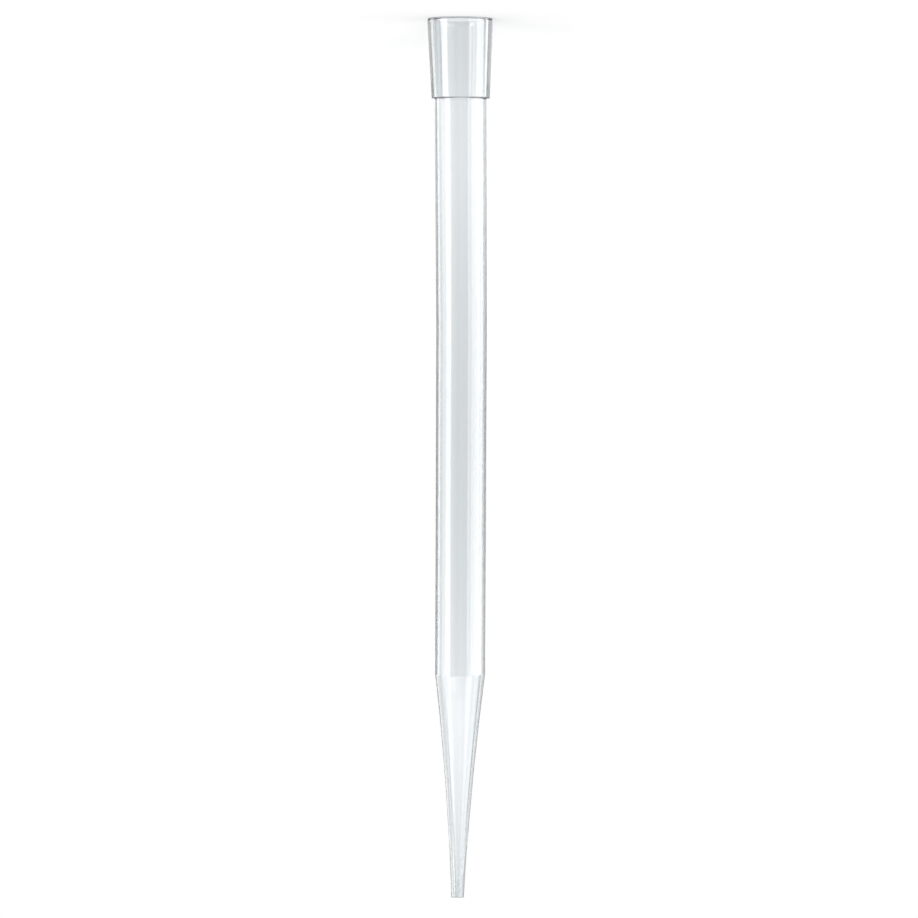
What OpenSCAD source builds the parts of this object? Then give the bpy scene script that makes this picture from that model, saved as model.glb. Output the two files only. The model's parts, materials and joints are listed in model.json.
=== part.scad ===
// Pipette tip for large volumes, moulded in one piece of clear polypropylene.
// A flared collar with a tapered socket, a long thin-walled tube, and a slim hollow-sided cone.
// On its side the tip would roll, so it stands on the flat rim of its collar with its orifice up.
// The section is drawn as radius and height above the bench, then turned about the upright axis.
// All sizes are in millimetres.

/* [Overall] */
// Length along the axis, from the rim to the orifice
tip_length = 160; // [130:1:200]
// Length of the cone, from the shoulder to the orifice
cone_length = 40.5; // [30:0.5:60]

/* [Collar] */
// Length of the collar, from the rim to its foot
collar_length = 14.5; // [11:0.1:20]
// How much the rim's radius is larger than that of the collar's foot
collar_flare = 0.71; // [0:0.01:1.2]
// How far the collar's foot stands out from the tube, the ledge that a rack carries
ledge_width = 0.53; // [0.3:0.01:1.2]
// Radius of the collar's two outer edges
collar_edge_round = 0.15; // [0.05:0.01:0.25]
// Radius of the corner between the ledge and the tube
ledge_root_round = 0.12; // [0.05:0.01:0.25]

/* [Socket] */
// Diameter of the parallel land that seals on the pipette's nose
socket_d = 8.7; // [6:0.1:12]
// Length of the parallel land
socket_land = 3; // [1.5:0.1:6]
// Draft of the socket from the land out to the mouth, in degrees
socket_draft = 0.85; // [0:0.05:2]
// Chamfer at the mouth that leads the nose in
lead_in = 0.25; // [0.1:0.01:0.5]
// How far the tube's bore steps in past the land
socket_step = 0.18; // [0.05:0.01:0.4]

/* [Tube] */
// Wall of the tube
tube_wall = 0.6; // [0.4:0.01:1.2]
// Length of the tube's first stretch, next to the collar, which has more draft
first_length = 42.3; // [10:0.1:60]
// Draft of the first stretch, in degrees
first_draft = 0.25; // [0:0.01:0.5]
// Draft of the second stretch, up to the shoulder, in degrees
second_draft = 0.05; // [0:0.01:0.2]

/* [Shoulder] */
// Radius that blends the tube into the cone
shoulder_round = 4; // [0.5:0.1:8]
// Length of the sloped step inside the shoulder
inner_step_length = 1.8; // [0.8:0.05:3]
// How far before the shoulder, on the collar's side, the inner step starts
inner_step_lead = 1; // [0.1:0.05:1.5]

/* [Cone] */
// Wall of the cone next to the shoulder
cone_wall = 1.0; // [0.8:0.01:1.5]
// How far the cone's outside is hollowed below a straight taper, at mid length
outer_hollow = 0.4; // [0:0.01:0.6]
// The same for the cone's bore
bore_hollow = 0.17; // [0:0.01:0.25]

/* [Orifice] */
// Diameter of the orifice
orifice_d = 1.1; // [0.6:0.05:1.8]
// Length of the parallel orifice
orifice_length = 3.4; // [1:0.1:6]
// How far the cone's bore is wider than the orifice where they meet
orifice_step = 0.13; // [0.03:0.01:0.3]
// Wall around the orifice, at the end of the tip
end_wall = 0.6; // [0.3:0.01:0.9]
// Radius of the outer edge at the end of the tip
end_round = 0.12; // [0.05:0.01:0.2]

/* [Hidden] */
$fn = 128;
ROUND_STEPS = 5;   // straight pieces in each rounded corner
CURVE_STEPS = 12;  // straight pieces in each hollow side of the cone

// Heights above the bench, with the rim at 0
foot_height = collar_length;
land_height = foot_height - socket_land;
bend_height = foot_height + first_length;
shoulder_height = tip_length - cone_length;
step_start_height = shoulder_height - inner_step_lead;
step_end_height = step_start_height + inner_step_length;
orifice_start_height = tip_length - orifice_length;

// Radii, each tied to the one it seats on: the socket sizes the bore, and walls go around it
orifice_r = orifice_d / 2;
end_r = orifice_r + end_wall;
socket_r = socket_d / 2;
mouth_r = socket_r + land_height * tan(socket_draft);
bore_start_r = socket_r - socket_step;
bore_bend_r = bore_start_r - first_length * tan(first_draft);
bore_shoulder_r = bore_bend_r - (shoulder_height - bend_height) * tan(second_draft);
tube_start_r = bore_start_r + tube_wall;
bend_r = bore_bend_r + tube_wall;
shoulder_r = bore_shoulder_r + tube_wall;
foot_r = tube_start_r + ledge_width;
rim_r = foot_r + collar_flare;

// Ends of the two hollow-sided tapers
cone_start = [shoulder_r, shoulder_height];
cone_end = [end_r, tip_length];
cone_bore_start = [shoulder_r - cone_wall, step_end_height];
cone_bore_end = [orifice_r + orifice_step, orifice_start_height - orifice_step];

// Points between a and b on a taper that dips below the straight line by `dip` at mid length
function hollow_side(a, b, dip) = [
    for (i = [1 : CURVE_STEPS - 1])
        let (t = i / CURVE_STEPS)
        a + t * (b - a) - [4 * dip * t * (1 - t), 0]
];

function unit(v) = v / norm(v);

// Points of an arc that rounds the corner c between its neighbours p and n
function rounded(p, c, n, radius) =
    let (
        u = unit(p - c),
        v = unit(n - c),
        half = acos(u * v) / 2,
        centre = c + unit(u + v) * radius / sin(half),
        from = c + u * radius / tan(half) - centre,
        to = c + v * radius / tan(half) - centre,
        start = atan2(from[1], from[0]),
        turn = (atan2(to[1], to[0]) - start + 540) % 360 - 180
    )
    [for (i = [0 : ROUND_STEPS])
        let (a = start + turn * i / ROUND_STEPS)
        centre + radius * [cos(a), sin(a)]];

outer_cone = hollow_side(cone_start, cone_end, outer_hollow);
cone_bore = hollow_side(cone_bore_end, cone_bore_start, bore_hollow);

// Outside of the section, from the rim up to the end of the tip
outer_side = concat(
    rounded([mouth_r, 0], [rim_r, 0], [foot_r, foot_height], collar_edge_round),
    rounded([rim_r, 0], [foot_r, foot_height], [tube_start_r, foot_height], collar_edge_round),
    rounded([foot_r, foot_height], [tube_start_r, foot_height], [bend_r, bend_height], ledge_root_round),
    [[bend_r, bend_height]],
    rounded([bend_r, bend_height], cone_start, outer_cone[0], shoulder_round),
    outer_cone,
    rounded(outer_cone[CURVE_STEPS - 2], cone_end, [orifice_r, tip_length], end_round)
);

// Inside of the section, from the orifice down to the mouth
inner_side = concat(
    [
        [orifice_r, tip_length],
        [orifice_r, orifice_start_height],
        cone_bore_end
    ],
    cone_bore,
    [
        cone_bore_start,
        [bore_shoulder_r, step_start_height],
        [bore_bend_r, bend_height],
        [bore_start_r, foot_height + socket_step],
        [socket_r, foot_height],
        [socket_r, land_height],
        [mouth_r, lead_in],
        [mouth_r + lead_in, 0]
    ]
);

// The whole tip is one moulding: collar, socket, tube, shoulder, cone and orifice
module pipette_tip() {
    color([0.86, 0.89, 0.90])
        rotate_extrude()
            polygon(concat(outer_side, inner_side));
}

pipette_tip();
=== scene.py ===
# %% [markdown]
# # A clear pipette tip
#
# The real tip is one thin moulding of clear polypropylene: a flared collar whose socket
# grips the pipette, a long tube that holds the liquid, and a slim cone that ends in a fine
# orifice. It stands on the flat rim of its collar, with the orifice up.
#
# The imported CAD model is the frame. It gives the box, the socket, the orifice and the ledge,
# so every size below is either read from it or is a named size of the moulding, in metres.

# %% Load the frame
import json
from math import pi, radians, tan

import bmesh
import bpy
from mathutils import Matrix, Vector


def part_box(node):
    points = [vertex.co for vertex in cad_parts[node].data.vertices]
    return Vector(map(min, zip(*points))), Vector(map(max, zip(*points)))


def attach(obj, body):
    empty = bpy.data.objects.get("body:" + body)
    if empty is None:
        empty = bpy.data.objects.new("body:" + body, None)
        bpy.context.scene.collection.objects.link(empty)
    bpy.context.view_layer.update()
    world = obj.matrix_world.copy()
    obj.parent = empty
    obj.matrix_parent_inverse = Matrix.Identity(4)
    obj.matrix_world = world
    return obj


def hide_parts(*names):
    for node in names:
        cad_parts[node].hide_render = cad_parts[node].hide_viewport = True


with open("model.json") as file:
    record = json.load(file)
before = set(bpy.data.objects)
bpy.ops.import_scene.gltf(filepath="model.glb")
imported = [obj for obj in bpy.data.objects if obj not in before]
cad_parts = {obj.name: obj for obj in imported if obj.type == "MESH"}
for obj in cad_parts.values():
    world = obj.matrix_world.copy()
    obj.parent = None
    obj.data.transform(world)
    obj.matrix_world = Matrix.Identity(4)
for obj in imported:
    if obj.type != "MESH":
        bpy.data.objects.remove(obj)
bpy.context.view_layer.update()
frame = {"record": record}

# %% [markdown]
# ## Sizes of the moulding
#
# A moulder's drawing of a tip is a half section: a radius at each height. The heights are
# counted from the rim, which is on the bench at zero. Each radius is built up from the one
# that it seats on, as a toolmaker does it: the socket fits the pipette's nose, the bore
# follows the socket, and the walls go round the bore.

# %% Sizes read from the frame
MM = 0.001
mounts = {m["name"]: m for m in frame["record"]["mounts"]}
tip_low, tip_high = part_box("pipette_tip")
tip_length = tip_high.z - tip_low.z
foot_height = mounts["rack_ledge"]["pos_m"][2]
socket_r = mounts["socket"]["dims"]["r_mm"] * MM
land_length = mounts["socket"]["dims"]["length_mm"] * MM
orifice_r = mounts["orifice"]["dims"]["r_mm"] * MM
orifice_length = mounts["orifice"]["dims"]["length_mm"] * MM
print("length", tip_length, "ledge at", foot_height, "socket radius", socket_r)

# %% Heights above the bench
LEAD_IN = 0.25 * MM  # chamfer in the mouth, which leads the pipette's nose in
SOCKET_STEP = 0.18 * MM  # the bore steps in by this past the socket
FIRST_LENGTH = 42.3 * MM  # the tube's first stretch has more draft
CONE_LENGTH = 40.5 * MM
INNER_STEP_LEAD = 0.3 * MM  # the bore's inner step starts this far before the shoulder
INNER_STEP_LENGTH = 3.0 * MM
ORIFICE_STEP = 0.13 * MM  # the cone's bore is wider than the orifice by this
ORIFICE_EASE = 1.2 * MM  # the step is eased over this height

land_height = foot_height - land_length
bend_height = foot_height + FIRST_LENGTH
shoulder_height = tip_length - CONE_LENGTH
step_start_height = shoulder_height - INNER_STEP_LEAD
step_end_height = step_start_height + INNER_STEP_LENGTH
orifice_height = tip_length - orifice_length
print("shoulder at", round(shoulder_height, 5), "orifice from", round(orifice_height, 5))

# %% Radii
SOCKET_DRAFT = radians(0.85)
FIRST_DRAFT = radians(0.25)
SECOND_DRAFT = radians(0.05)
TUBE_WALL = 0.6 * MM
LEDGE_WIDTH = 0.53 * MM
COLLAR_FLARE = 0.71 * MM
CONE_WALL = 1.0 * MM
END_WALL = 0.6 * MM

mouth_r = socket_r + (land_height - LEAD_IN) * tan(SOCKET_DRAFT)
bore_start_r = socket_r - SOCKET_STEP
bore_bend_r = bore_start_r - FIRST_LENGTH * tan(FIRST_DRAFT)
bore_shoulder_r = bore_bend_r - (step_start_height - bend_height) * tan(SECOND_DRAFT)
cone_bore_r = bore_shoulder_r + TUBE_WALL - CONE_WALL
tube_r = bore_start_r + TUBE_WALL
bend_r = bore_bend_r + TUBE_WALL
shoulder_r = bore_shoulder_r + TUBE_WALL
foot_r = tube_r + LEDGE_WIDTH
rim_r = foot_r + COLLAR_FLARE
end_r = orifice_r + END_WALL
print("rim", round(rim_r, 5), "tube", round(tube_r, 5), "shoulder", round(shoulder_r, 5))

# %% [markdown]
# ## The half section
#
# The tip is a turned shape, so only its half section has to be drawn: a closed loop of
# corners in the plane of X and Z, X being the radius. Every corner keeps a name, because
# the next steps round it or bend the side that starts there.

# %% Draw the corners and close the loop
section = bmesh.new()
corner_at = {
    "rim_inner": (mouth_r + LEAD_IN, 0),
    "rim_outer": (rim_r, 0),
    "foot_outer": (foot_r, foot_height),
    "ledge_root": (tube_r, foot_height),
    "bend_outer": (bend_r, bend_height),
    "shoulder_outer": (shoulder_r, shoulder_height),
    "end_outer": (end_r, tip_length),
    "end_inner": (orifice_r, tip_length),
    "orifice_start": (orifice_r, orifice_height),
    "cone_bore_end": (orifice_r + ORIFICE_STEP, orifice_height - ORIFICE_EASE),
    "cone_bore_start": (cone_bore_r, step_end_height),
    "inner_step_start": (bore_shoulder_r, step_start_height),
    "bend_inner": (bore_bend_r, bend_height),
    "bore_start": (bore_start_r, foot_height + SOCKET_STEP),
    "land_foot": (socket_r, foot_height),
    "land_mouth": (socket_r, land_height),
    "mouth": (mouth_r, LEAD_IN),
}
section.faces.new([section.verts.new((r, 0, z)) for r, z in corner_at.values()])
print("section drawn with", len(section.verts), "corners")


def find_corner(name):
    """The section's vertex at a named corner."""
    place = Vector((corner_at[name][0], 0, corner_at[name][1]))
    return min(section.verts, key=lambda point: (point.co - place).length)


print("the rim's edge is at", find_corner("rim_outer").co)

# %% [markdown]
# ## The hollow sides of the cone
#
# A cone that tapered in a straight line would look stiff. The real one is slightly hollow,
# outside and in, so the pull of the mould is easy and the end stays slim. Each side is cut
# into short pieces, and each new point sinks towards the axis, most of all half way along.

# %% Sink the cone's two long sides
CONE_CUTS = 31
OUTER_HOLLOW = 0.4 * MM
BORE_HOLLOW = 0.17 * MM


def belly(along):
    """A smooth curve that is 0 at both ends of a length and 1 half way along."""
    return 4 * along * (1 - along)


def sink_side(start, end, depth):
    """Cuts the side between two corners and sinks its new points towards the axis."""
    side = section.edges.get((find_corner(start), find_corner(end)))
    cut = bmesh.ops.subdivide_edges(section, edges=[side], cuts=CONE_CUTS)
    points = [v for v in cut["geom_inner"] if isinstance(v, bmesh.types.BMVert)]
    low, high = corner_at[start][1], corner_at[end][1]
    for point in points:
        along = (point.co.z - low) / (high - low)
        point.co.x -= depth * belly(along)
    print(start, "to", end, "has", len(points), "points")


sink_side("shoulder_outer", "end_outer", OUTER_HOLLOW)
sink_side("cone_bore_end", "cone_bore_start", BORE_HOLLOW)

# %% [markdown]
# ## Rounded corners
#
# No moulded corner is sharp, and on clear plastic each rounded one draws a fine bright or
# dark line. A vertex bevel rounds a corner of the section. Its offset is measured along the
# two sides, so the radius is turned into that setback first: a shallow corner needs less.

# %% Round the corners
ROUND_STEPS = 5
corner_radius = {
    "rim_outer": 0.25 * MM,
    "foot_outer": 0.05 * MM,
    "ledge_root": 0.05 * MM,
    "shoulder_outer": 4 * MM,
    "end_outer": 0.12 * MM,
    "rim_inner": 0.05 * MM,
    "end_inner": 0.05 * MM,
    "orifice_start": 6 * MM,
    "cone_bore_end": 6 * MM,
    "cone_bore_start": 12 * MM,
    "inner_step_start": 12 * MM,
    "bore_start": 0.05 * MM,
    "land_foot": 0.05 * MM,
    "land_mouth": 4 * MM,
    "mouth": 0.1 * MM,
}


def round_corner(name, radius):
    """Rounds one corner of the section to a radius."""
    point = find_corner(name)
    one, two = [edge.other_vert(point).co - point.co for edge in point.link_edges]
    setback = radius / tan(one.angle(two) / 2)
    bmesh.ops.bevel(
        section, geom=[point], offset=setback, offset_type="OFFSET", affect="VERTICES",
        segments=ROUND_STEPS, profile=0.5, material=-1, clamp_overlap=False,
    )
    return setback


for name, radius in corner_radius.items():
    setback = round_corner(name, radius)
    print(name, "set back", round(setback / MM, 3), "mm")

# %% [markdown]
# ## Support cuts
#
# Smooth shading blends the light across each face. A straight side would pick up a tilt from
# the rounded corner at its end, and draw a false bright or dark patch. A cut close to the
# corner keeps that blend short, so the side stays truly straight to the eye. A rounded corner
# is known by its pieces, which are far shorter than the side.

# %% Cut each long side close to its rounded ends
SUPPORT = 0.06 * MM  # how far from the corner the cut is made
LONG_SIDE = 0.3 * MM  # only sides longer than this are cut
SHORT_SHARE = 0.2  # a rounded corner's pieces are shorter than this share of the side
SMALLEST_TURN = radians(0.3)  # a side that turns less than this runs on


def meets_corner(side, point):
    """Whether a side turns there into the short pieces of a rounded corner."""
    neighbour = [edge for edge in point.link_edges if edge != side][0]
    inwards = point.co - side.other_vert(point).co
    onwards = neighbour.other_vert(point).co - point.co
    if onwards.length > SHORT_SHARE * inwards.length:
        return False
    return inwards.angle(onwards) > SMALLEST_TURN


def open_ends():
    """Ends of long sides that meet a rounded corner and have no support cut yet."""
    long_sides = [edge for edge in section.edges if edge.calc_length() > LONG_SIDE]
    ends = [(edge, point) for edge in long_sides for point in edge.verts]
    return [(edge, point) for edge, point in ends if meets_corner(edge, point)]


cuts_made = 0
while open_ends():
    side, point = open_ends()[0]
    share = SUPPORT / side.calc_length()
    if point == side.verts[1]:
        share = 1 - share
    bmesh.ops.bisect_edges(section, edges=[side], cuts=1, edge_percents={side: share})
    cuts_made += 1
print("made", cuts_made, "support cuts")

# %% [markdown]
# ## Turn the section
#
# Spinning the loop about the upright axis makes the whole skin, outside and bore together.
# The section's own face is dropped first, or it would stay inside the wall. The last turn is
# merged with the first, and the normals are recalculated, because a spin can face inwards.

# %% Spin, merge and face outwards
TURN_STEPS = 256
MERGE_DISTANCE = 0.001 * MM
bmesh.ops.delete(section, geom=section.faces[:], context="FACES_ONLY")
bmesh.ops.spin(
    section, geom=section.verts[:] + section.edges[:], cent=(0, 0, 0), axis=(0, 0, 1),
    angle=2 * pi, steps=TURN_STEPS, use_merge=True, use_duplicate=False,
)
bmesh.ops.remove_doubles(section, verts=section.verts[:], dist=MERGE_DISTANCE)
bmesh.ops.recalc_face_normals(section, faces=section.faces[:])
open_edges = [edge for edge in section.edges if not edge.is_manifold]
print("faces", len(section.faces), "open edges", len(open_edges))

# %% [markdown]
# ## A slight bow
#
# A long thin moulding cools unevenly and is never quite straight. The tube bows sideways by
# less than half a millimetre half way along, while the rim stays flat on the bench and the
# orifice stays on the axis, where the frame has them.

# %% Bow the tube
BOW = 0.46 * MM
for point in section.verts:
    point.co.x -= BOW * belly(point.co.z / tip_length)
print("bowed by", BOW / MM, "mm half way along")

# %% Make the piece
tip_mesh = bpy.data.meshes.new("clear_tip")
section.to_mesh(tip_mesh)
section.free()
tip_mesh.shade_smooth()
tip = bpy.data.objects.new("clear_tip", tip_mesh)
bpy.context.scene.collection.objects.link(tip)
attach(tip, "root")
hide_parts("pipette_tip")
print("piece", tip.name, "with", len(tip_mesh.polygons), "faces")

# %% [markdown]
# ## Clear polypropylene
#
# The real plastic is clear and glossy, and faintly cool where it is thick. A see-through mix
# would only make it pale. The bright and dark lines that show its walls come from light that
# bends, so the Principled shader passes nearly all light on and bends it as plastic does. The
# small rest is the plastic's own milkiness.

# %% Clear skin
PLASTIC_IOR = 1.49
CLEARNESS = 0.96
CLEAR_COLOUR = (0.969, 0.985, 0.997, 1)

plastic = bpy.data.materials.new("clear_polypropylene")
plastic.use_nodes = True
plastic_tree = plastic.node_tree
plastic_tree.nodes.clear()


def add_node(tree, kind, label):
    """Adds a node of a kind to a tree, and labels it."""
    node = tree.nodes.new(kind)
    node.label = label
    return node


skin = add_node(plastic_tree, "ShaderNodeBsdfPrincipled", "clear plastic")
skin.inputs["IOR"].default_value = PLASTIC_IOR
skin.inputs["Transmission Weight"].default_value = CLEARNESS
print("skin passes", CLEARNESS, "of the light that enters it")

# %% [markdown]
# ## Flow lines
#
# The melt runs along the tip as the mould fills, and leaves lines that are far longer than
# they are wide. They could be cut as grooves, but they are only microns deep. A noise that is
# stretched along the axis and read by a shallow bump gives the same faint streaks.

# %% Streaks along the tip
STREAK_STRETCH = 0.03
STREAK_SCALE = 260
STREAK_DETAIL = 1
STREAK_DEPTH = 0.01 * MM
STREAK_STRENGTH = 0.15

on_tip = add_node(plastic_tree, "ShaderNodeTexCoord", "place on the tip")
stretch = add_node(plastic_tree, "ShaderNodeMapping", "stretched along the axis")
stretch.inputs["Scale"].default_value = (1, 1, STREAK_STRETCH)
plastic_tree.links.new(on_tip.outputs["Object"], stretch.inputs["Vector"])
flow = add_node(plastic_tree, "ShaderNodeTexNoise", "flow lines")
flow.inputs["Scale"].default_value = STREAK_SCALE
flow.inputs["Detail"].default_value = STREAK_DETAIL
plastic_tree.links.new(stretch.outputs["Vector"], flow.inputs["Vector"])
bump = add_node(plastic_tree, "ShaderNodeBump", "shallow streaks")
bump.inputs["Strength"].default_value = STREAK_STRENGTH
bump.inputs["Distance"].default_value = STREAK_DEPTH
plastic_tree.links.new(flow.outputs["Fac"], bump.inputs["Height"])
plastic_tree.links.new(bump.outputs["Normal"], skin.inputs["Normal"])
print("streaks about", round(1 / STREAK_SCALE / MM, 1), "mm wide")

# %% [markdown]
# ## A matt end, with painted shade
#
# The mould's small insert at the orifice is not polished as brightly as the rest, so the last
# few millimetres are slightly matt. Their colour is also a shade greyer, which is painted
# shade that darkens the end. The height on the tip gives a share that grows smoothly from 0 to
# 1, and both the roughness and the painted shade follow that share.

# %% Polish and painted shade along the tip
MATT_AND_SHADE_LENGTH = 2.2 * orifice_length
BODY_ROUGHNESS = 0.015
END_ROUGHNESS = 0.2
# painted shade: a greyer colour that darkens the end, not a colour of the plastic itself
PAINTED_END_SHADE = (0.93, 0.95, 0.965, 1)


def set_range(node, low, high, from_low=0, from_high=1):
    """Sets what a Map Range node reads and what it gives."""
    node.inputs["From Min"].default_value = from_low
    node.inputs["From Max"].default_value = from_high
    node.inputs["To Min"].default_value = low
    node.inputs["To Max"].default_value = high


parts = add_node(plastic_tree, "ShaderNodeSeparateXYZ", "height on the tip")
plastic_tree.links.new(on_tip.outputs["Object"], parts.inputs["Vector"])
# this share drives both the real matt roughness and the painted shade of the end
matt_and_shade_share = add_node(plastic_tree, "ShaderNodeMapRange", "share of the matt end")
matt_and_shade_share.interpolation_type = "SMOOTHSTEP"
set_range(matt_and_shade_share, 0, 1, tip_length - MATT_AND_SHADE_LENGTH, tip_length)
plastic_tree.links.new(parts.outputs["Z"], matt_and_shade_share.inputs["Value"])
polish = add_node(plastic_tree, "ShaderNodeMapRange", "roughness")
set_range(polish, BODY_ROUGHNESS, END_ROUGHNESS)
plastic_tree.links.new(matt_and_shade_share.outputs["Result"], polish.inputs["Value"])
plastic_tree.links.new(polish.outputs["Result"], skin.inputs["Roughness"])
# mixes the plastic's own clear colour towards the painted shade at the end
colour_with_end_shade = add_node(plastic_tree, "ShaderNodeMix", "colour")
colour_with_end_shade.data_type = "RGBA"
colour_with_end_shade.inputs["A"].default_value = CLEAR_COLOUR
colour_with_end_shade.inputs["B"].default_value = PAINTED_END_SHADE
plastic_tree.links.new(matt_and_shade_share.outputs["Result"], colour_with_end_shade.inputs["Factor"])
plastic_tree.links.new(colour_with_end_shade.outputs["Result"], skin.inputs["Base Color"])
print("matt over the last", round(MATT_AND_SHADE_LENGTH / MM, 1), "mm")

# %% [markdown]
# ## Depth and shadow
#
# The thick collar is greyer than the thin tube, because light is lost along its way through
# the plastic. Volume absorption does this from the real wall, with nothing painted on.
#
# Bending also has a price: a lamp's light can't be traced through it cheaply, so the tip
# would cast a black shadow. Shadow rays are given a plain, slightly tinted transparent shader
# instead, and the bench keeps a pale shadow, as under a real tip.

# %% Absorption and a pale shadow
ABSORPTION_COLOUR = (0.28, 0.33, 0.36, 1)
ABSORPTION_DENSITY = 120
SHADOW_COLOUR = (0.86, 0.88, 0.89, 1)

wall = add_node(plastic_tree, "ShaderNodeVolumeAbsorption", "grey in thick walls")
wall.inputs["Color"].default_value = ABSORPTION_COLOUR
wall.inputs["Density"].default_value = ABSORPTION_DENSITY
clear_shadow = add_node(plastic_tree, "ShaderNodeBsdfTransparent", "pale shadow")
clear_shadow.inputs["Color"].default_value = SHADOW_COLOUR
plastic_ray = add_node(plastic_tree, "ShaderNodeLightPath", "kind of ray")
plastic_mix = add_node(plastic_tree, "ShaderNodeMixShader", "shadow rays pass")
plastic_tree.links.new(plastic_ray.outputs["Is Shadow Ray"], plastic_mix.inputs["Fac"])
plastic_tree.links.new(skin.outputs["BSDF"], plastic_mix.inputs[1])
plastic_tree.links.new(clear_shadow.outputs["BSDF"], plastic_mix.inputs[2])
plastic_out = add_node(plastic_tree, "ShaderNodeOutputMaterial", "plastic")
plastic_tree.links.new(plastic_mix.outputs["Shader"], plastic_out.inputs["Surface"])
plastic_tree.links.new(wall.outputs["Volume"], plastic_out.inputs["Volume"])
tip_mesh.materials.append(plastic)
print("material", plastic.name, "with", len(plastic_tree.nodes), "nodes")

# %% [markdown]
# ## The studio
#
# Clear plastic has almost no colour of its own. The eye reads it from the lights round it and
# from the gaps between them, which the walls bend into white bands and grey lines. So upright
# softboxes stand in a ring round the tip, and the gaps are left on purpose.
#
# Area lamps could stand there, but each would also spill on the bench. The World shader can
# hold the whole ring: a ray's direction gives an angle round the tip and a height above the
# horizon. The angle is 0 on the camera's side and grows towards -X, both in degrees.

# %% Directions in the studio
world = bpy.data.worlds.new("studio")
bpy.context.scene.world = world
world.use_nodes = True
studio = world.node_tree
studio.nodes.clear()
bpy.context.scene.view_settings.view_transform = "Standard"


def calculate(tree, operation, *values, clamp=False):
    """Adds a Math node, and sets or links its inputs."""
    node = tree.nodes.new("ShaderNodeMath")
    node.operation = operation
    node.use_clamp = clamp
    for socket, value in zip(node.inputs, values):
        if isinstance(value, (int, float)):
            socket.default_value = value
        else:
            tree.links.new(value, socket)
    return node.outputs["Value"]


direction = add_node(studio, "ShaderNodeTexCoord", "direction of a ray")
split = add_node(studio, "ShaderNodeSeparateXYZ", "its parts")
studio.links.new(direction.outputs["Generated"], split.inputs["Vector"])
away_x = calculate(studio, "MULTIPLY", split.outputs["X"], -1)
away_y = calculate(studio, "MULTIPLY", split.outputs["Y"], -1)
angle = calculate(studio, "DEGREES", calculate(studio, "ARCTAN2", away_x, away_y))
height = calculate(studio, "DEGREES", calculate(studio, "ARCSINE", split.outputs["Z"]))
print("directions take", len(studio.nodes), "nodes")

# %% [markdown]
# ## Windows and softboxes
#
# One small helper makes every light: a window is 1 near its middle and falls to 0 across a
# soft edge, as the light of a diffuser does. A softbox is a window on the angle, times its
# strength, and a zone is a window on the height.
#
# So a softbox is written as its middle, half width and strength, with its soft edge where
# that isn't the usual one. A zone is its middle, half width and soft edge. All are in degrees.

# %% Window, softbox, zone and sum
HALF_TURN = 180
SOFT_EDGE = 5


def window(value, middle, half_width, soft):
    """1 within a half width of the middle, falling to 0 across a soft edge."""
    away = calculate(studio, "SUBTRACT", value, middle)
    away = calculate(studio, "ABSOLUTE", away)
    inside = calculate(studio, "SUBTRACT", half_width, away)
    inside = calculate(studio, "DIVIDE", inside, soft)
    return calculate(studio, "ADD", inside, 0.5, clamp=True)


def softbox(middle, half_width, strength, soft=SOFT_EDGE):
    """Light of one upright softbox that stands at an angle round the tip."""
    turned = calculate(studio, "SUBTRACT", angle, middle)
    turned = calculate(studio, "WRAP", turned, HALF_TURN, -HALF_TURN)
    inside = window(turned, 0, half_width, soft)
    return calculate(studio, "MULTIPLY", inside, strength)


def add_up(values):
    """The sum of several lights."""
    total = values[0]
    for value in values[1:]:
        total = calculate(studio, "ADD", total, value)
    return total


def dim(light, amount):
    """A light times an amount, which may be a number or another light."""
    return calculate(studio, "MULTIPLY", light, amount)


def keep_to(zone, light):
    """A light kept to a zone of heights."""
    return dim(light, window(height, *zone))


print("a softbox takes", SOFT_EDGE, "degrees to fade out")

# %% [markdown]
# ## What is seen through the plastic
#
# A ray that has passed through the walls sees this plan. Behind the tip stands a dim wide
# softbox, which gives the grey middle band, and bright ones flank it for the white bands. A
# dim base fills the gaps, or their lines would be black. The light is weakest level with the
# middle of the tip and rises a little above and below it.

# %% Softboxes seen through the tip
SEEN_THROUGH = {
    "front": (342, 21, 0.6),
    "front right": (55, 11, 1.5),
    "right": (90, 12, 0.8),
    "right flank": (109, 6, 1.3),
    "rear right": (139.5, 11, 0.7),
    "rear": (172, 18, 0.6),
    "rear left": (217, 29, 0.4),
    "left flank": (254, 7, 1.5),
    "left": (283, 14, 0.4),
    "front left": (300, 11.5, 1.2),
}
GAP_LIGHT = 0.25
RING_ZONE = (11, 20, 3)
DIMMEST_HEIGHT = -0.3
RISE = 0.027
MOST_RISE = 1.17

ring = add_up([softbox(*box) for box in SEEN_THROUGH.values()])
ring = calculate(studio, "ADD", ring, GAP_LIGHT)
off_middle = calculate(studio, "SUBTRACT", height, DIMMEST_HEIGHT)
rise = calculate(studio, "MULTIPLY", off_middle, off_middle)
rise = calculate(studio, "MULTIPLY_ADD", rise, RISE, 1)
rise = calculate(studio, "MINIMUM", rise, MOST_RISE)
ring_share = window(height, *RING_ZONE)
ring = dim(dim(ring, rise), ring_share)
print("ring of", len(SEEN_THROUGH), "softboxes")

# %% [markdown]
# ## Above and below the ring
#
# The collar's ledge, the rim and the open end bend light from steep directions, and other
# views look down on the tip. Below the ring hang eight low panels with a gap behind the tip,
# which draws the ledge's dark line. A plain pale panel fills the floor and one the ceiling.

# %% Low panels with a gap behind the tip
LOW_PANELS = 8
LOW_PANEL_HALF = 14
LOW_PANEL_SOFT = 4
LOW_PANEL_LIGHT = 0.5
LOW_GAP_LIGHT = 0.4
LOW_ZONE = (-22.5, 13.5, 2)
REAR_GAP = (180, 50, 0.7, 15)
REAR_GAP_ZONE = (-9, 7, 4)

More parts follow.
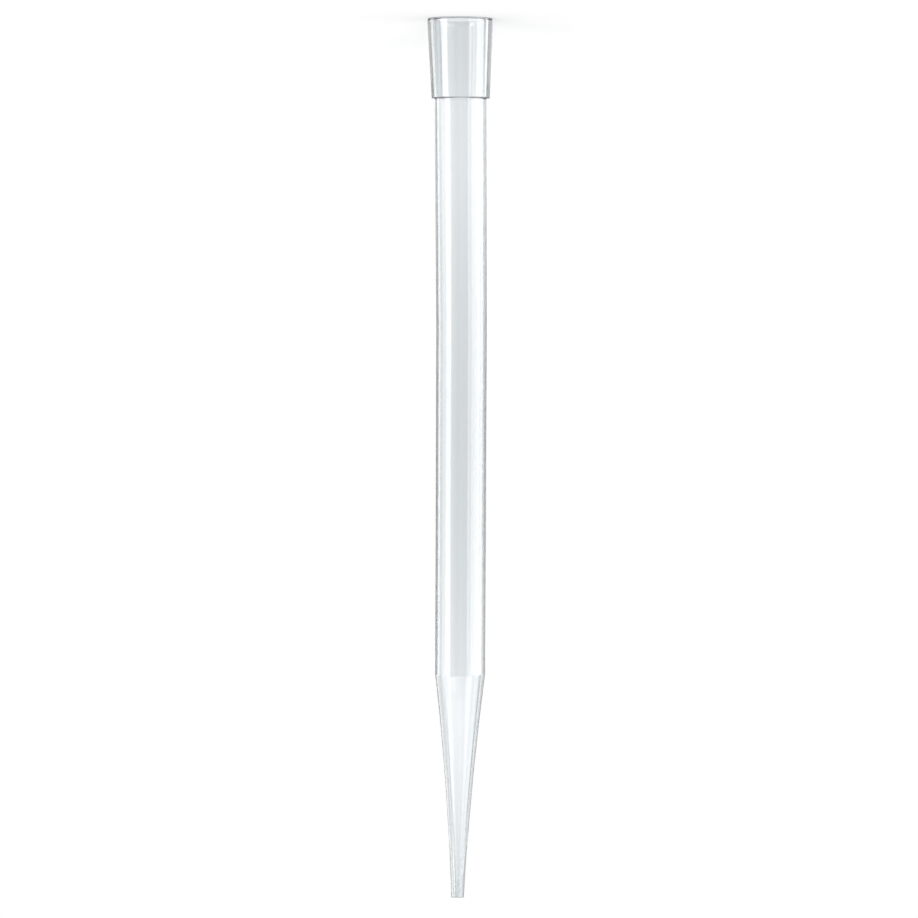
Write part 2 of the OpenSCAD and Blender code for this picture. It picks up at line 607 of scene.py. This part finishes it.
half_step = HALF_TURN / LOW_PANELS
repeated = calculate(studio, "WRAP", angle, half_step, -half_step)
low = window(repeated, 0, LOW_PANEL_HALF, LOW_PANEL_SOFT)
low = calculate(studio, "MULTIPLY_ADD", low, LOW_PANEL_LIGHT, LOW_GAP_LIGHT)
rear_gap = keep_to(REAR_GAP_ZONE, softbox(*REAR_GAP))
low = dim(keep_to(LOW_ZONE, low), calculate(studio, "SUBTRACT", 1, rear_gap))
print("low panels", LOW_PANELS)

# %% Floor, ceiling and the whole first plan
FLOOR_LIGHT = 0.85
FLOOR_ZONE = (-75, 25, 6)
CEILING_LIGHT = 0.45
CEILING_ZONE = (80, 20, 6)
LEAST_LIGHT = 0.3

floor = dim(window(height, *FLOOR_ZONE), FLOOR_LIGHT)
ceiling = dim(window(height, *CEILING_ZONE), CEILING_LIGHT)
off_ring = calculate(studio, "MAXIMUM", add_up([low, floor, ceiling]), LEAST_LIGHT)
off_ring = dim(off_ring, calculate(studio, "SUBTRACT", 1, ring_share))
through = calculate(studio, "ADD", ring, off_ring)
print("first plan of", len(SEEN_THROUGH) + LOW_PANELS, "softboxes")

# %% [markdown]
# ## What the skin mirrors
#
# A clear skin mirrors only a few percent of the light that falls on it, so the softboxes that
# it mirrors have to be far stronger to draw a highlight. A second plan holds them, and the
# rays that see it never see the first one. Some stand by the sides, some only graze the
# outline, and one hangs high in front, where the slope of the cone points. Behind the tip are
# low ones for the flared collar, and a small one that the flat ledge mirrors.

# %% Softboxes by the sides
SIDES = {
    "right highlight": (36, 5.5, 3.6),
    "right highlight, inner": (53, 6.5, 3.4),
    "right side": (78, 18, 6.5),
    "left side": (298, 12.5, 7.5),
    "left side, outer": (271.5, 12, 1.8),
    "left highlight": (322, 14, 0.7),
}
SIDE_ZONE = (-2, 29, 4)
TUBE_ZONE = (-10, 17, 6)
CONE_SHARE = 0.45  # the sides' share above the tube's zone, where the cone's slope points

tube_share = window(height, *TUBE_ZONE)
tube_share = calculate(studio, "MULTIPLY_ADD", tube_share, 1 - CONE_SHARE, CONE_SHARE)
sides = dim(add_up([softbox(*box) for box in SIDES.values()]), tube_share)
sides = keep_to(SIDE_ZONE, sides)
print("sides", len(SIDES))

# %% Softboxes for the outline, the cone, the collar and the ledge
OUTLINE = {
    "right outline": (108, 9.5, 5.9),
    "left outline": (238, 7.5, 4.0),
    "left outline, inner": (250, 9, 2.9),
}
OUTLINE_ZONE = (-13, 18, 3)
CONE_SIDES = {
    "left": (230, 16, 2.4, 6),
    "left, inner": (262, 16, 1.6, 6),
    "right": (128, 14, 0.7, 6),
}
CONE_ZONE = (9, 5, 2)
HIGH_FRONT = (0, 60, 9.7, 20)
HIGH_FRONT_ZONE = (24, 8.5, 10)
BELOW_SHOULDER_GLINT = (0, 15.9, 1.2)  # stops the high light short of the shoulder's curve
REAR = {
    "rear right": (160, 15, 1.9, 20),
    "rear left": (200, 17, 1.6, 20),
}
REAR_ZONE = (-6, 3.2, 3.5)
LEDGE_LIGHT = (180, 10, 0.9, 6)
LEDGE_ZONE = (3.5, 1.3, 1)

mirrored = add_up([
    sides,
    keep_to(OUTLINE_ZONE, add_up([softbox(*box) for box in OUTLINE.values()])),
    keep_to(CONE_ZONE, add_up([softbox(*box) for box in CONE_SIDES.values()])),
    keep_to(BELOW_SHOULDER_GLINT, keep_to(HIGH_FRONT_ZONE, softbox(*HIGH_FRONT))),
    keep_to(REAR_ZONE, add_up([softbox(*box) for box in REAR.values()])),
    keep_to(LEDGE_ZONE, softbox(*LEDGE_LIGHT)),
    floor,
    ceiling,
])
print("studio of", len(studio.nodes), "nodes so far")

# %% [markdown]
# ## Which ray sees which light
#
# Light Path tells how a ray reached the world. One that left the plastic by bending sees the
# first plan, and one that bounced off a skin sees the second. A matt surface gets one even
# light, so the bench and the plastic's milkiness are lit plainly. A ray straight from the
# camera finds white, the colour of the backdrop. The gaps of the first plan are faintly cool,
# because the wall lines of clear polypropylene are never a neutral grey.

# %% Put the world together
EVEN_LIGHT = 0.7
WHITE = 1.0
GAP_COLOUR = (0.9, 0.99, 1.0, 1)

studio_ray = add_node(studio, "ShaderNodeLightPath", "kind of ray")
bent = studio_ray.outputs["Is Transmission Ray"]
shiny = studio_ray.outputs["Is Glossy Ray"]
bounced = dim(shiny, calculate(studio, "SUBTRACT", 1, bent))
matt = calculate(studio, "SUBTRACT", 1, shiny)
straight = studio_ray.outputs["Is Camera Ray"]
light = add_up([
    dim(through, bent),
    dim(mirrored, bounced),
    dim(matt, EVEN_LIGHT),
    dim(straight, WHITE - EVEN_LIGHT),
])
gap_share = calculate(studio, "SUBTRACT", 1, through, clamp=True)
cool = add_node(studio, "ShaderNodeMix", "cool gaps")
cool.data_type = "RGBA"
cool.inputs["A"].default_value = (1, 1, 1, 1)
cool.inputs["B"].default_value = GAP_COLOUR
studio.links.new(dim(gap_share, bent), cool.inputs["Factor"])
backdrop = add_node(studio, "ShaderNodeBackground", "studio light")
studio.links.new(cool.outputs["Result"], backdrop.inputs["Color"])
studio.links.new(light, backdrop.inputs["Strength"])
world_out = add_node(studio, "ShaderNodeOutputWorld", "world")
studio.links.new(backdrop.outputs["Background"], world_out.inputs["Surface"])
print("studio of", len(studio.nodes), "nodes")

# %% [markdown]
# ## The bench
#
# The tip stands on a plain white bench. A disc is enough, far wider than any view sees, and a
# hair below the rim, so that the two faces don't fight for the same place. It is matt, which
# keeps the tip's soft shadow. Camera rays see it a little brighter, up to white, and shiny
# rays pass it, so the plastic bends and mirrors the studio's own floor light.

# %% Lay the bench
BENCH_RADIUS = 3.0
BENCH_SIDES = 96
BENCH_GAP = 0.02 * MM
BENCH_COLOUR = (0.9, 0.9, 0.9, 1)
BENCH_GLOW = 0.12

disc = bmesh.new()
bmesh.ops.create_circle(disc, cap_ends=True, segments=BENCH_SIDES, radius=BENCH_RADIUS)
bmesh.ops.translate(disc, verts=disc.verts[:], vec=(0, 0, -BENCH_GAP))
bench_mesh = bpy.data.meshes.new("bench")
disc.to_mesh(bench_mesh)
disc.free()
bench = bpy.data.objects.new("bench", bench_mesh)
bpy.context.scene.collection.objects.link(bench)
print("bench", BENCH_RADIUS * 2, "m across")

# %% White bench
bench_white = bpy.data.materials.new("white_bench")
bench_white.use_nodes = True
bench_tree = bench_white.node_tree
bench_tree.nodes.clear()
surface = add_node(bench_tree, "ShaderNodeBsdfDiffuse", "matt white")
surface.inputs["Color"].default_value = BENCH_COLOUR
bench_ray = add_node(bench_tree, "ShaderNodeLightPath", "kind of ray")
seen = bench_ray.outputs["Is Camera Ray"]
glow = add_node(bench_tree, "ShaderNodeEmission", "up to white")
glow_strength = calculate(bench_tree, "MULTIPLY", seen, BENCH_GLOW)
bench_tree.links.new(glow_strength, glow.inputs["Strength"])
lit = add_node(bench_tree, "ShaderNodeAddShader", "lit bench")
bench_tree.links.new(surface.outputs["BSDF"], lit.inputs[0])
bench_tree.links.new(glow.outputs["Emission"], lit.inputs[1])
passed = add_node(bench_tree, "ShaderNodeBsdfTransparent", "shiny rays pass")
bench_mix = add_node(bench_tree, "ShaderNodeMixShader", "by kind of ray")
bench_tree.links.new(bench_ray.outputs["Is Glossy Ray"], bench_mix.inputs["Fac"])
bench_tree.links.new(lit.outputs["Shader"], bench_mix.inputs[1])
bench_tree.links.new(passed.outputs["BSDF"], bench_mix.inputs[2])
bench_out = add_node(bench_tree, "ShaderNodeOutputMaterial", "bench")
bench_tree.links.new(bench_mix.outputs["Shader"], bench_out.inputs["Surface"])
bench_mesh.materials.append(bench_white)
print("material", bench_white.name)

# %% [markdown]
# ## The lamps
#
# Two wide soft suns give the bench its level light and the tip a soft shadow that points away
# from the camera. Suns were chosen because their light is even over the whole bench. They are
# hidden from shiny rays, or the plastic would mirror them as hard dots.

# %% Hang the lamps
LAMP_WIDTH = radians(12)
LAMPS = {"key": (-4, 58, 0.25), "fill": (30, 72, 0.1)}  # angle, height and strength


def soft_lamp(name, turned, lamp_height, strength):
    """A wide soft lamp, far off, at an angle round the tip and a height in degrees."""
    data = bpy.data.lights.new(name, "SUN")
    data.angle = LAMP_WIDTH
    data.energy = strength * pi
    lamp = bpy.data.objects.new(name, data)
    lamp.rotation_euler = (radians(90 - lamp_height), 0, radians(turned))
    lamp.visible_glossy = False
    lamp.visible_transmission = False
    lamp.visible_camera = False
    bpy.context.scene.collection.objects.link(lamp)
    print(name, "at", turned, "round and", lamp_height, "up")


for name, lamp_values in LAMPS.items():
    soft_lamp(name, *lamp_values)

# %% [markdown]
# ## The camera
#
# A long lens far off keeps the tube's sides parallel. The camera is level, half way up the
# tip, and stands on its head: the tip is shown as it hangs in use, with the orifice down. The
# last small turn and shift square it up with the slightly bowed moulding.

# %% Set up the camera
CAMERA_DISTANCE = 1.06
CAMERA_ASIDE = -0.03 * MM
CAMERA_RISE = 0.18 * MM
CAMERA_ROLL = radians(180 - 0.17)
TIP_LENGTHS_IN_VIEW = 1.045
NEAREST, FARTHEST = 0.05, 20

frame_width = TIP_LENGTHS_IN_VIEW * tip_length
camera_data = bpy.data.cameras.new("camera")
camera_data.lens = camera_data.sensor_width * CAMERA_DISTANCE / frame_width
camera_data.clip_start = NEAREST
camera_data.clip_end = FARTHEST
camera = bpy.data.objects.new("camera", camera_data)
camera.location = (CAMERA_ASIDE, -CAMERA_DISTANCE, tip_length / 2 + CAMERA_RISE)
camera.rotation_euler = (radians(90), CAMERA_ROLL, 0)
bpy.context.scene.collection.objects.link(camera)
bpy.context.scene.camera = camera
print("lens", round(camera_data.lens, 1), "mm")
